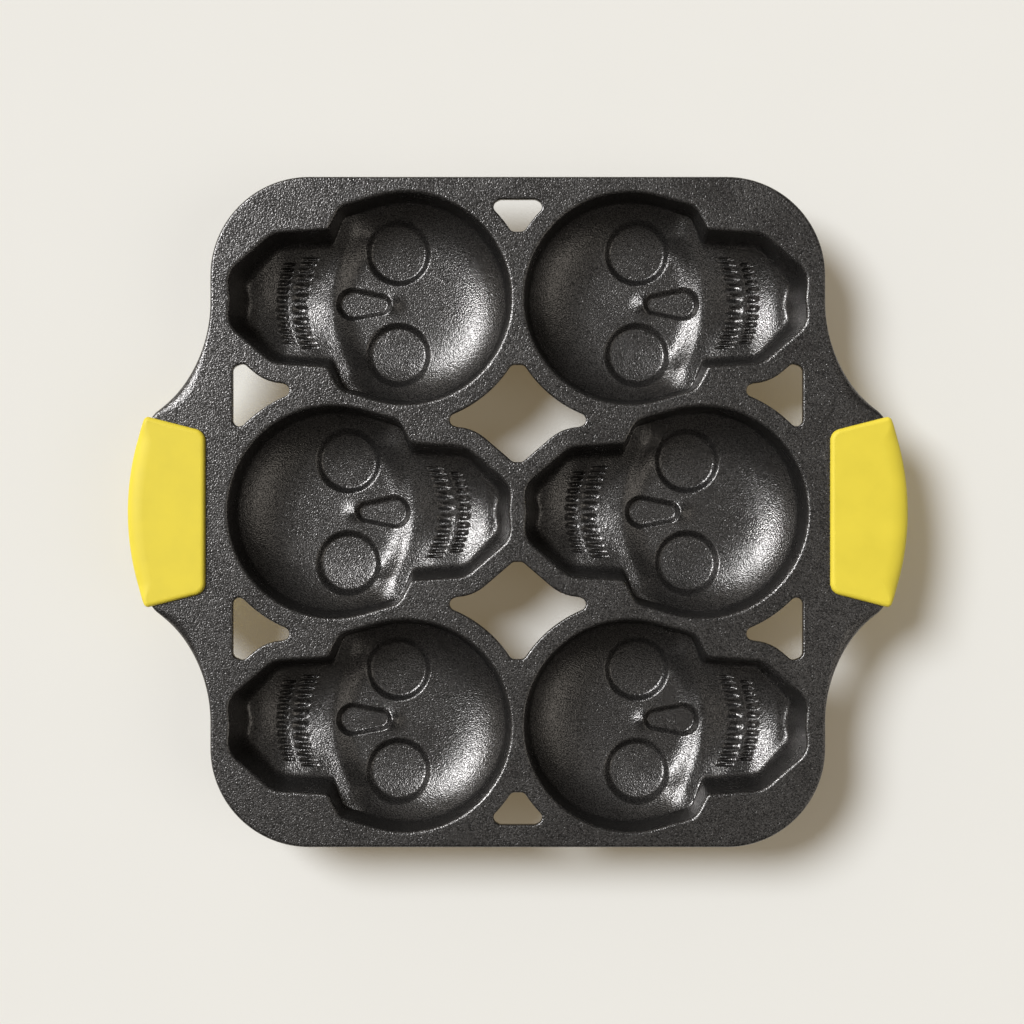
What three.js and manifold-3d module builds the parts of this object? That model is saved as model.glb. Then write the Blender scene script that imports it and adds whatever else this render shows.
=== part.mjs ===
// Skull cake pan: one iron casting with six skull cavities, and two silicone grips that slip on its handles.
// Millimetres, +Z up. The origin is on the table under the middle of the pan, and +X runs from grip to grip.

import * as THREE from "three";
import { mergeVertices } from "three/addons/utils/BufferGeometryUtils.js";
import Module from "manifold-3d";

const wasm = await Module();
wasm.setup();

// Casting, overall
const PAN_HEIGHT = 42; // table to the deck's top face
const DECK_THICKNESS = 5;
const CUP_WALL = 5;
const EDGE_ROUND = 2;
const RIM_ROUND = 0.8;
const CORNER_RADIUS = 49.5;
const CAVITY_WEB = 7.2; // iron between neighbouring cavities
const SIDE_BORDER = 9; // cavity to the side of the body
const END_BORDER = 8; // cavity to the end of the body

// Windows through the deck
const WINDOW_FLANGE = 10; // iron kept round each cavity
const WINDOW_BORDER = 11.3; // iron kept along the body's edge
const WINDOW_ROUND = 3.2;
const SMALLEST_WINDOW = 60; // square millimetres before the corners are rounded; less stays solid

// Handles
const HANDLE_REACH = 38.5; // body side to the handle's outer edge, on the middle line
const HANDLE_SHOULDER = 29; // body side to the handle's corner
const HANDLE_HALF_WIDTH = 48.6;
const HANDLE_CORNER = 4;
const SIDE_STRAIGHT = 13.3; // body side between its corner and the flare out to the handle

// Skull outline at the deck: u runs from the middle of the cranium to the chin, v to the side
const CRANIUM_RADIUS = 52.8;
const TEMPLE_ANGLE = THREE.MathUtils.degToRad(54.5);
const TEMPLE_FLARE = 3.2; // temple corner beyond the cranium's circle
const CHEEK_RUN = 6; // temple corner to the notch under the cheekbone, along u
const CHEEK_STEP = 11.6; // and along v
const JAW_RUN = 27.4;
const JAW_STEP = 1.7;
const CHIN_RUN = 22.6;
const CHIN_STEP = 19.4;
const CHIN_DIMPLE = 1.2;
const TEMPLE_ROUND = 5;
const CHEEK_ROUND = 3;
const JAW_ROUND = 7;
const CHIN_ROUND = 7;

// Skull relief, as depths below the deck
const FACE_DEPTH = 34;
const MOUTH_FORWARD = 54; // middle of the cranium to the mouth
const MOUTH_DEPTH = 31;
const CHIN_DEPTH = 23;
const CHEEK_RIDGE = 6; // height of the ridge under the cheekbones on the middle line
const CHEEK_RIDGE_RISE = 7; // and how much higher it stands at the jaw's sides
const CHEEK_RIDGE_WIDTH = 5;
const BRIDGE_RISE = 3; // mound at the bridge of the nose
const BRIDGE_WIDTH = 8;
const FOREHEAD_STEEPNESS = 7; // steepness of the bowl's wall: more is steeper at the rim and flatter inside
const TEMPLE_STEEPNESS = 10;
const JAW_STEEPNESS = 6;

// Eyes and nose: drafted pockets in the floor of the bowl
const EYE_FORWARD = 5;
const EYE_SIDE = 26.2;
const EYE_DEPTH = 37.2;
const EYE_RISE = 7; // how far the pocket's wall climbs the side of the bowl
const EYE_RISE_DRAFT = 0.6;
const EYE_FLOOR_RADIUS = 14.6;
const EYE_TOP_RADIUS = 17;
const NOSE_START = 7.4;
const NOSE_LENGTH = 28.8;
const NOSE_NARROW = 5.6; // half width at the bridge
const NOSE_WIDE = 8.4; // half width at the lip
const NOSE_DEPTH = 35.6;
const NOSE_DRAFT = 2;
const FOOT_FLANGE = 3.4; // iron round an eye pocket, which makes the foot under it

// Silicone grips
const GRIP_WALL = 2.5;
const GRIP_CLEARANCE = 0.3;
const GRIP_HALF_LENGTH = 48;
const GRIP_MOUTH_HALF = 40.3; // half length along the mouth, where the ends would meet it
const GRIP_MOUTH_GAP = 2.2; // body side to the grip's mouth
const GRIP_MOUTH_ROUND = 6;
const GRIP_END_ROUND = 2.5;
const GRIP_EDGE_ROUND = 1.4;

// Facets
const INNER_STRIDE = 11;
const INNER_RINGS = 5;
const OUTER_STRIDE = 16;
const OUTER_RINGS = 3;
const EDGE_STRIDE = 12;
const ARC_STEPS = 2;
const RING_POWER = 1.7; // packs the rings towards the rim
const EYE_SIDES = 18;
const OVERLAP = 1; // how far a cutter or a joined piece runs past a face

const deckBottom = PAN_HEIGHT - DECK_THICKNESS;

// Skull outline corners, in order from the temple to the chin
const temple = new THREE.Vector2(Math.cos(TEMPLE_ANGLE), Math.sin(TEMPLE_ANGLE))
  .multiplyScalar(CRANIUM_RADIUS + TEMPLE_FLARE);
const cheek = temple.clone().add(new THREE.Vector2(CHEEK_RUN, -CHEEK_STEP));
const jaw = cheek.clone().add(new THREE.Vector2(JAW_RUN, -JAW_STEP));
const chinCorner = jaw.clone().add(new THREE.Vector2(CHIN_RUN, -CHIN_STEP));
const chin = new THREE.Vector2(chinCorner.x - CHIN_DIMPLE, 0);

// Layout: the outer rows have their crania at the middle and the middle row its chins, one web apart
const outerCranium = CAVITY_WEB / 2 + CRANIUM_RADIUS;
const middleCranium = CAVITY_WEB / 2 + chinCorner.x;
const rowPitch = Math.sqrt((2 * CRANIUM_RADIUS + CAVITY_WEB) ** 2 - (middleCranium - outerCranium) ** 2);
const skullReach = CAVITY_WEB / 2 + CRANIUM_RADIUS + chinCorner.x;
const halfWidth = skullReach + SIDE_BORDER;
const halfDepth = rowPitch + CRANIUM_RADIUS + END_BORDER;
const skulls = [
  { x: -outerCranium, y: rowPitch, facing: -1 },
  { x: outerCranium, y: rowPitch, facing: 1 },
  { x: -middleCranium, y: 0, facing: 1 },
  { x: middleCranium, y: 0, facing: -1 },
  { x: -outerCranium, y: -rowPitch, facing: -1 },
  { x: outerCranium, y: -rowPitch, facing: 1 },
];

// Plan of the body's corner, the flare from the body's side to the handle, and the handle's bowed outer edge
const cornerCentre = new THREE.Vector2(halfWidth - CORNER_RADIUS, halfDepth - CORNER_RADIUS);
const flareStart = cornerCentre.y - SIDE_STRAIGHT;
const bowDrop = HANDLE_REACH - HANDLE_SHOULDER;
const bowRadius = (bowDrop ** 2 + HANDLE_HALF_WIDTH ** 2) / (2 * bowDrop);
const bowCentre = halfWidth + HANDLE_REACH - bowRadius;

function solidOf(geometry) {
  const bare = geometry.clone();
  bare.deleteAttribute("normal");
  bare.deleteAttribute("uv");
  const merged = mergeVertices(bare);
  const triangles = [];
  for (let i = 0; i < merged.index.count; i += 3) {
    const [a, b, c] = [0, 1, 2].map((corner) => merged.index.getX(i + corner));
    if (a !== b && b !== c && c !== a) triangles.push(a, b, c);
  }
  const mesh = new wasm.Mesh({
    numProp: 3,
    vertProperties: new Float32Array(merged.attributes.position.array),
    triVerts: new Uint32Array(triangles),
  });
  return new wasm.Manifold(mesh);
}

function geometryOf(solid) {
  const mesh = solid.getMesh();
  const geometry = new THREE.BufferGeometry();
  geometry.setAttribute("position", new THREE.BufferAttribute(mesh.vertProperties, mesh.numProp));
  geometry.setIndex(new THREE.BufferAttribute(mesh.triVerts, 1));
  geometry.computeVertexNormals();
  return geometry;
}

function prism(points, low, high, edge = 0) {
  const geometry = new THREE.ExtrudeGeometry(new THREE.Shape(points), {
    depth: high - low - 2 * edge,
    bevelEnabled: edge > 0,
    bevelThickness: edge,
    bevelSize: edge,
    bevelOffset: -edge,
    bevelSegments: 1,
  });
  return solidOf(geometry.translate(0, 0, low + edge));
}

// Straight runs through the given points, with each inner corner rounded by its own radius.
function addRoundedRuns(path, points, radii) {
  points.slice(1, -1).forEach((corner, index) => {
    const into = corner.clone().sub(points[index]).normalize();
    const out = points[index + 2].clone().sub(corner).normalize();
    const turn = Math.atan2(into.cross(out), into.dot(out));
    const radius = radii[index];
    const start = corner.clone().addScaledVector(into, -radius * Math.tan(Math.abs(turn) / 2));
    path.lineTo(start.x, start.y);
    if (radius === 0) return;
    const left = new THREE.Vector2(-into.y, into.x);
    const centre = start.clone().addScaledVector(left, Math.sign(turn) * radius);
    const from = Math.atan2(start.y - centre.y, start.x - centre.x);
    path.absarc(centre.x, centre.y, radius, from, from + turn, turn < 0);
  });
  path.lineTo(points.at(-1).x, points.at(-1).y);
}

// Points along a path: curves at about one stride apart, straight runs at another.
function pathPoints(path, stride, straightStride = Infinity) {
  const points = [path.curves[0].getPoint(0)];
  for (const curve of path.curves) {
    const fewest = curve.isLineCurve ? 1 : ARC_STEPS;
    const length = curve.getLength() / (curve.isLineCurve ? straightStride : stride);
    const steps = Math.max(fewest, Math.round(length));
    for (let step = 1; step <= steps; step++) points.push(curve.getPoint(step / steps));
  }
  return points;
}

// The closed outline whose first half is given, mirrored about the u axis.
function mirrored(half) {
  const other = half.slice(1, -1).reverse().map((point) => new THREE.Vector2(point.x, -point.y));
  return [...half, ...other];
}

// The closed outline, anticlockwise, whose quarter runs from the +Y axis round to the +X axis.
function fourfold(quarter) {
  const flipped = (points, x, y) => points.map((point) => new THREE.Vector2(point.x * x, point.y * y));
  const back = quarter.slice(0, -1).reverse();
  const outline = [
    ...quarter,
    ...flipped(back, 1, -1),
    ...flipped(quarter.slice(1), -1, -1),
    ...flipped(back.slice(0, -1), -1, 1),
  ];
  return outline.reverse();
}

// An anticlockwise outline with each point moved out, square to the line between its neighbours.
function movedOut(outline, distance) {
  return outline.map((point, index) => {
    const after = outline[(index + 1) % outline.length];
    const along = after.clone().sub(outline.at(index - 1)).normalize();
    return new THREE.Vector2(along.y, -along.x).multiplyScalar(distance).add(point);
  });
}

// Where two lines meet, each given by a point and a direction.
function meeting(pointA, alongA, pointB, alongB) {
  const reach = pointB.clone().sub(pointA).cross(alongB) / alongA.cross(alongB);
  return pointA.clone().addScaledVector(alongA, reach);
}

// The skull's outline moved out by a distance, anticlockwise from the chin's mirror image.
function skullOutline(outset, stride) {
  const tangent = TEMPLE_ANGLE + Math.acos(CRANIUM_RADIUS / (CRANIUM_RADIUS + TEMPLE_FLARE));
  const leave = new THREE.Vector2(Math.cos(tangent), Math.sin(tangent)).multiplyScalar(CRANIUM_RADIUS);
  const corners = [leave, temple, cheek, jaw, chinCorner, chin];
  const runs = corners.slice(1).map((corner, index) => {
    const along = corner.clone().sub(corners[index]).normalize();
    const outward = new THREE.Vector2(-along.y, along.x);
    return { point: corners[index].clone().addScaledVector(outward, outset), along };
  });
  const moved = runs.slice(1).map((run, index) => {
    const before = runs[index];
    return meeting(before.point, before.along, run.point, run.along);
  });
  const last = runs.at(-1);
  const end = meeting(last.point, last.along, new THREE.Vector2(), new THREE.Vector2(1, 0));
  const radii = [
    TEMPLE_ROUND + outset,
    Math.max(CHEEK_ROUND - outset, 0),
    JAW_ROUND + outset,
    CHIN_ROUND + outset,
  ];
  const path = new THREE.Path();
  path.absarc(0, 0, CRANIUM_RADIUS + outset, Math.PI, tangent, true);
  addRoundedRuns(path, [runs[0].point, ...moved, end], radii);
  return mirrored(pathPoints(path, stride, stride)).reverse();
}

// How deep the bowl is at a point, where inward runs from 0 at the rim to 1 on the skull's middle line.
function reliefDepth(u, v, inward, steepness) {
  const wall = 1 - (1 - inward) ** steepness;
  const mouth = THREE.MathUtils.smoothstep(u, temple.x, MOUTH_FORWARD);
  const chinSlope = THREE.MathUtils.smoothstep(u, MOUTH_FORWARD, chin.x);
  const floor = FACE_DEPTH + (MOUTH_DEPTH - FACE_DEPTH) * mouth + (CHIN_DEPTH - MOUTH_DEPTH) * chinSlope;
  const across = v / cheek.y;
  const ridge = (CHEEK_RIDGE + CHEEK_RIDGE_RISE * across ** 2)
    * Math.exp(-(((u - cheek.x) / CHEEK_RIDGE_WIDTH) ** 2));
  const bridge = BRIDGE_RISE * Math.exp(-((u - NOSE_START) ** 2 + v ** 2) / BRIDGE_WIDTH ** 2);
  return wall * (floor - ridge - bridge);
}

// Steepness of the bowl's wall below a point of the outline: least behind, most at the temples.
function wallSteepness(point) {
  if (point.x > temple.x) {
    const share = THREE.MathUtils.smoothstep(point.x, temple.x, cheek.x);
    return THREE.MathUtils.lerp(TEMPLE_STEEPNESS, JAW_STEEPNESS, share);
  }
  const sideways = Math.abs(point.y) / (CRANIUM_RADIUS + TEMPLE_FLARE);
  return THREE.MathUtils.lerp(FOREHEAD_STEEPNESS, TEMPLE_STEEPNESS, sideways ** 2);
}

// A closed bowl below the deck: rings of points run in from the outline to the skull's middle line.
function bowl(outline, rings, collar, extraDepth) {
  const count = outline.length;
  const positions = [];
  const addRing = (points, height) => {
    points.forEach((point, index) => positions.push(point.x, point.y, height(point, index)));
  };
  addRing(collar.outline, () => collar.height);
  for (let ring = 0; ring <= rings; ring++) {
    const inward = (ring / rings) ** RING_POWER;
    const points = outline.map((point) => {
      const middle = new THREE.Vector2(THREE.MathUtils.clamp(point.x, 0, jaw.x), 0);
      return middle.lerp(point, 1 - inward);
    });
    const depth = (point, index) => {
      const relief = reliefDepth(point.x, point.y, inward, wallSteepness(outline[index]));
      return Math.max(relief, RIM_ROUND) + extraDepth;
    };
    addRing(points, (point, index) => PAN_HEIGHT - depth(point, index));
  }
  const triangles = [];
  for (let ring = 0; ring <= rings; ring++) {
    for (let index = 0; index < count; index++) {
      const here = ring * count + index;
      const next = ring * count + ((index + 1) % count);
      triangles.push(here, here + count, next, next, here + count, next + count);
    }
  }
  for (const cap of THREE.ShapeUtils.triangulateShape(collar.outline, [])) triangles.push(...cap);
  const geometry = new THREE.BufferGeometry();
  geometry.setAttribute("position", new THREE.Float32BufferAttribute(positions, 3));
  geometry.setIndex(triangles);
  return solidOf(geometry);
}

// A round pocket, or the boss round it, under both eyes: a turned profile of radius and height pairs.
function eyePair(profile) {
  const closed = [[0, profile[0][1]], ...profile, [0, profile.at(-1)[1]]];
  const turned = new THREE.LatheGeometry(closed.map((pair) => new THREE.Vector2(...pair)), EYE_SIDES);
  turned.rotateX(Math.PI / 2);
  const eye = solidOf(turned);
  return eye.translate([EYE_FORWARD, -EYE_SIDE, 0]).add(eye.translate([EYE_FORWARD, EYE_SIDE, 0]));
}

// The nose pocket: a pear outline, narrow at the bridge, widened by its draft towards the top.
function nosePocket() {
  const low = PAN_HEIGHT - NOSE_DEPTH;
  const high = PAN_HEIGHT - FACE_DEPTH + CHEEK_RIDGE + OVERLAP;
  const outline = (grow) => {
    const narrow = NOSE_NARROW + grow;
    const wide = NOSE_WIDE + grow;
    const path = new THREE.Path();
    path.absarc(NOSE_START - grow + narrow, 0, narrow, Math.PI, Math.PI / 2, true);
    path.absarc(NOSE_START + NOSE_LENGTH + grow - wide, 0, wide, Math.PI / 2, 0, true);
    return mirrored(pathPoints(path, INNER_STRIDE)).reverse();
  };
  const slope = NOSE_DRAFT / (NOSE_DEPTH - FACE_DEPTH + BRIDGE_RISE);
  const floor = outline(-NOSE_DRAFT);
  const mouth = outline(slope * (high - low) - NOSE_DRAFT);
  return loft([floor, mouth], [low, high]);
}

// A closed solid between outlines with as many points each, stacked from the lowest up.
function loft(outlines, heights) {
  const count = outlines[0].length;
  const positions = outlines.flatMap((outline, level) =>
    outline.flatMap((point) => [point.x, point.y, heights[level]]));
  const triangles = [];
  for (let level = 0; level < outlines.length - 1; level++) {
    for (let index = 0; index < count; index++) {
      const here = level * count + index;
      const next = level * count + ((index + 1) % count);
      triangles.push(here, next, here + count, next, next + count, here + count);
    }
  }
  const top = (outlines.length - 1) * count;
  for (const [a, b, c] of THREE.ShapeUtils.triangulateShape(outlines[0], [])) triangles.push(c, b, a);
  for (const [a, b, c] of THREE.ShapeUtils.triangulateShape(outlines.at(-1), [])) {
    triangles.push(top + a, top + b, top + c);
  }
  const geometry = new THREE.BufferGeometry();
  geometry.setAttribute("position", new THREE.Float32BufferAttribute(positions, 3));
  geometry.setIndex(triangles);
  return solidOf(geometry);
}

// Everything the cavity takes out of the casting.
function skullCavity() {
  const rim = skullOutline(0, INNER_STRIDE);
  const collar = { outline: movedOut(rim, RIM_ROUND + OVERLAP), height: PAN_HEIGHT + OVERLAP };
  const eyes = eyePair([
    [EYE_FLOOR_RADIUS, PAN_HEIGHT - EYE_DEPTH],
    [EYE_TOP_RADIUS, PAN_HEIGHT - FACE_DEPTH],
    [EYE_TOP_RADIUS + EYE_RISE_DRAFT, PAN_HEIGHT - FACE_DEPTH + EYE_RISE],
  ]);
  return bowl(rim, INNER_RINGS, collar, 0).add(nosePocket()).add(eyes);
}

// The outside of the cup, with the two feet under the eyes.
function skullCup() {
  const outline = skullOutline(CUP_WALL, OUTER_STRIDE);
  const collar = { outline, height: PAN_HEIGHT - OVERLAP };
  const feet = eyePair([
    [EYE_FLOOR_RADIUS + FOOT_FLANGE, 0],
    [EYE_TOP_RADIUS + FOOT_FLANGE, PAN_HEIGHT - FACE_DEPTH + EYE_RISE],
  ]);
  return bowl(outline, OUTER_RINGS, collar, CUP_WALL).add(feet);
}

function placed(solid, skull) {
  return solid.rotate([0, 0, skull.facing > 0 ? 0 : 180]).translate([skull.x, skull.y, 0]);
}

// The casting's outline moved out by a distance: body corners, flared necks and bowed handles.
function castingOutline(outset) {
  const side = halfWidth + outset;
  const end = halfDepth + outset;
  const toShoulder = new THREE.Vector2(HANDLE_SHOULDER, flareStart - HANDLE_HALF_WIDTH);
  const flareRadius = toShoulder.lengthSq() / (2 * toShoulder.x);
  const flareTurn = Math.asin(toShoulder.y / flareRadius) - HANDLE_CORNER / flareRadius;
  const bowTurn = Math.asin(HANDLE_HALF_WIDTH / bowRadius) - HANDLE_CORNER / bowRadius;
  const neck = new THREE.Path();
  neck.moveTo(0, end);
  neck.lineTo(cornerCentre.x, end);
  neck.absarc(cornerCentre.x, cornerCentre.y, CORNER_RADIUS + outset, Math.PI / 2, 0, true);
  neck.lineTo(side, flareStart);
  neck.absarc(halfWidth + flareRadius, flareStart, flareRadius - outset, Math.PI, Math.PI + flareTurn, false);
  const bowStart = new THREE.Vector2(Math.cos(bowTurn), Math.sin(bowTurn)).multiplyScalar(bowRadius + outset);
  const shoulder = new THREE.Vector2(HANDLE_SHOULDER + outset, HANDLE_HALF_WIDTH + outset);
  neck.quadraticCurveTo(halfWidth + shoulder.x, shoulder.y, bowCentre + bowStart.x, bowStart.y);
  neck.absarc(bowCentre, 0, bowRadius + outset, bowTurn, 0, true);
  return fourfold(pathPoints(neck, EDGE_STRIDE));
}

// The grip's outline: bowed with the handle, straight along its mouth, with slanted ends.
function gripOutline() {
  const outer = bowRadius + GRIP_CLEARANCE + GRIP_WALL;
  const turn = Math.asin(GRIP_HALF_LENGTH / outer);
  const mouth = halfWidth + GRIP_MOUTH_GAP;
  const trimmed = turn - (2 * GRIP_END_ROUND) / outer;
  const path = new THREE.Path();
  path.absarc(bowCentre, 0, outer, 0, trimmed, false);
  const corners = [
    path.curves[0].getPoint(1),
    new THREE.Vector2(bowCentre + outer * Math.cos(turn), GRIP_HALF_LENGTH),
    new THREE.Vector2(mouth, GRIP_MOUTH_HALF),
    new THREE.Vector2(mouth, 0),
  ];
  addRoundedRuns(path, corners, [GRIP_END_ROUND, GRIP_MOUTH_ROUND]);
  return mirrored(pathPoints(path, EDGE_STRIDE));
}

// Boundary loops of the flat top of a slab that stands on zero.
function topLoops(solid, height) {
  const mesh = solid.getMesh();
  const onTop = (vertex) => mesh.vertProperties[vertex * mesh.numProp + 2] > height / 2;
  const next = new Map();
  for (let i = 0; i < mesh.triVerts.length; i += 3) {
    const triangle = [...mesh.triVerts.slice(i, i + 3)];
    if (!triangle.every(onTop)) continue;
    triangle.forEach((from, corner) => {
      const to = triangle[(corner + 1) % 3];
      if (next.get(to)?.has(from)) next.get(to).delete(from);
      else next.set(from, (next.get(from) ?? new Set()).add(to));
    });
  }
  const loops = [];
  for (const first of next.keys()) {
    const loop = [];
    let vertex = first;
    while (next.get(vertex)?.size) {
      const [to] = next.get(vertex);
      next.get(vertex).delete(to);
      const at = vertex * mesh.numProp;
      loop.push(new THREE.Vector2(mesh.vertProperties[at], mesh.vertProperties[at + 1]));
      vertex = to;
    }
    if (loop.length > 2) loops.push(loop);
  }
  return loops;
}

// A loop moved out by a distance, with an arc at each outer corner.
function roundedOutset(loop, distance) {
  const points = [];
  loop.forEach((point, index) => {
    const before = loop.at(index - 1);
    const after = loop[(index + 1) % loop.length];
    const from = Math.atan2(before.x - point.x, point.y - before.y);
    const to = Math.atan2(point.x - after.x, after.y - point.y);
    const turn = THREE.MathUtils.euclideanModulo(to - from + Math.PI, 2 * Math.PI) - Math.PI;
    const steps = turn > 0 ? Math.ceil(turn / (Math.PI / 2 / ARC_STEPS)) : 0;
    for (let step = 0; step <= steps; step++) {
      const angle = steps ? from + (turn * step) / steps : from + turn / 2;
      points.push(new THREE.Vector2(Math.cos(angle), Math.sin(angle)).multiplyScalar(distance).add(point));
    }
  });
  return points;
}

// The windows: what the deck has left between the cavities' flanges and the border.
function windowOutlines() {
  const inset = WINDOW_BORDER + WINDOW_ROUND;
  const plan = new THREE.Path();
  plan.moveTo(0, halfDepth - inset);
  plan.lineTo(cornerCentre.x, halfDepth - inset);
  plan.absarc(cornerCentre.x, cornerCentre.y, CORNER_RADIUS - inset, Math.PI / 2, 0, true);
  plan.lineTo(halfWidth - inset, 0);
  let left = prism(fourfold(pathPoints(plan, EDGE_STRIDE)), 0, OVERLAP);
  const flange = skullOutline(WINDOW_FLANGE + WINDOW_ROUND, EDGE_STRIDE);
  for (const skull of skulls) {
    left = left.subtract(placed(prism(flange, -OVERLAP, 2 * OVERLAP), skull));
  }
  return topLoops(left, OVERLAP)
    .filter((loop) => THREE.ShapeUtils.area(loop) > SMALLEST_WINDOW)
    .map((loop) => roundedOutset(loop, WINDOW_ROUND));
}

function castingSolid() {
  let casting = prism(castingOutline(0), deckBottom, PAN_HEIGHT, EDGE_ROUND);
  for (const outline of windowOutlines()) {
    casting = casting.subtract(prism(outline, deckBottom - OVERLAP, PAN_HEIGHT + OVERLAP));
  }
  const cup = skullCup();
  const cavity = skullCavity();
  for (const skull of skulls) casting = casting.add(placed(cup, skull));
  for (const skull of skulls) casting = casting.subtract(placed(cavity, skull));
  return casting;
}

// The right-hand grip: a pouch whose pocket is the handle's own shape with a clearance all round.
function gripSolid() {
  const low = deckBottom - GRIP_CLEARANCE;
  const high = PAN_HEIGHT + GRIP_CLEARANCE;
  const pouch = prism(gripOutline(), low - GRIP_WALL, high + GRIP_WALL, GRIP_EDGE_ROUND);
  return pouch.subtract(prism(castingOutline(GRIP_CLEARANCE), low, high));
}

function piece(name, geometry, material) {
  const mesh = new THREE.Mesh(geometry, material);
  mesh.name = name;
  return mesh;
}

const iron = new THREE.MeshStandardMaterial({ color: "#2f2e2d", roughness: 0.55, metalness: 0.6 });
const silicone = new THREE.MeshStandardMaterial({ color: "#ecd84a", roughness: 0.6, metalness: 0 });

const pan = new THREE.Group();
pan.add(piece("pan_casting", geometryOf(castingSolid()), iron));
const grip = gripSolid();
pan.add(piece("grip_left", geometryOf(grip.rotate([0, 0, 180])), silicone));
pan.add(piece("grip_right", geometryOf(grip), silicone));

export default pan;
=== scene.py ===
"""Skull cake pan, dressed for the studio.

One iron casting with six skull-shaped cavities in a flat deck, and a silicone grip on each handle.
Metres, +Z up, with the origin on the table under the middle of the pan.
"""

import math

import bmesh
import bpy
from bpy.props import FloatProperty, FloatVectorProperty, IntProperty, PointerProperty
from mathutils import Matrix, Vector


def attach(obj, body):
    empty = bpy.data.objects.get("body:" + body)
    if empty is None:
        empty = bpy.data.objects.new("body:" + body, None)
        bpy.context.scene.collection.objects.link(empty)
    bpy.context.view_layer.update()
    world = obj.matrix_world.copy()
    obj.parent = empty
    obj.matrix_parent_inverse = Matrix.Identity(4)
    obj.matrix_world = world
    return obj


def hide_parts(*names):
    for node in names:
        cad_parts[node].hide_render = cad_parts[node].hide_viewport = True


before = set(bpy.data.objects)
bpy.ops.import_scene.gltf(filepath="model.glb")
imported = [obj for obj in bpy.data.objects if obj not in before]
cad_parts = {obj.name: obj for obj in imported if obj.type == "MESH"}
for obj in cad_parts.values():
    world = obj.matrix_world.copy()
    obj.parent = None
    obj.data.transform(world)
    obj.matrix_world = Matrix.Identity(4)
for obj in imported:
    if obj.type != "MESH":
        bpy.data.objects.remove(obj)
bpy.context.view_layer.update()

bl_info = {
    "name": "Skull Cake Pan",
    "version": (1, 0, 0),
    "blender": (4, 5, 0),
    "location": "3D View > Sidebar > Skull Pan",
    "description": "Models a cast skull cake pan with slip-on grips and sets it in a studio",
    "category": "Object",
}

MM = 0.001
WELD = 1e-6  # vertices closer than this are one


def linear(hex_colour):
    """The linear colour of an sRGB hex value."""
    parts = [int(hex_colour[start:start + 2], 16) / 255 for start in (1, 3, 5)]
    return [part / 12.92 if part <= 0.04045 else ((part + 0.055) / 1.055) ** 2.4 for part in parts]


def length(name, description, millimetres):
    """A length whose default is given in millimetres."""
    return FloatProperty(name=name, description=description, default=millimetres * MM, unit="LENGTH")


def colour(name, description, hex_colour):
    """A colour whose default is an sRGB hex value."""
    return FloatVectorProperty(
        name=name, description=description, default=linear(hex_colour), subtype="COLOR", min=0, max=1
    )


class DeckSizes(bpy.types.PropertyGroup):
    """The flat deck, its windows and its two handles."""

    pan_height: length("Pan height", "Table to the deck's top face", 42)
    thickness: length("Thickness", "Iron in the deck", 5)
    edge_round: length("Edge round", "Rounding of the outer edge above", 1.4)
    under_round: length("Under round", "Rounding of the outer edge below", 0.8)
    flare_round: length("Flare round", "Width in plan of the softer rounding along the handles' flares", 6)
    flare_drop: length("Flare drop", "Height of that rounding", 3.7)
    flare_soft: length("Flare soft", "Body side to where that rounding is whole", 16)
    flare_hard: length("Flare hard", "Body side to where that rounding is plain again, under the grip", 30)
    edge_lip: length("Edge lip", "Flat strip beside each rounded edge", 0.4)
    corner_radius: length("Corner radius", "Body corners in plan", 49.5)
    cavity_web: length("Cavity web", "Iron between neighbouring cavities", 7.2)
    side_border: length("Side border", "Cavity to the side of the body", 9)
    end_border: length("End border", "Cavity to the end of the body", 8)
    side_straight: length("Side straight", "Body side between its corner and the flare", 13.3)
    window_flange: length("Window flange", "Iron kept round each cavity", 10)
    window_border: length("Window border", "Iron kept along the body's edge", 11.3)
    window_round: length("Window round", "Window corners in plan", 3.2)
    window_edge_round: length("Window edge round", "Rounding of the window edges", 0.9)
    window_least: length("Least window", "A gap narrower than this across stays solid", 7.7)
    handle_reach: length("Handle reach", "Body side to the handle's outer edge", 38.5)
    handle_shoulder: length("Handle shoulder", "Body side to the handle's corner", 29)
    handle_half_width: length("Handle half width", "Middle line to the handle's corner", 48.6)
    handle_corner: length("Handle corner", "Rounding of the handle's corner", 4)
    spacing: length("Spacing", "Distance between points along the outlines", 2)


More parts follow.
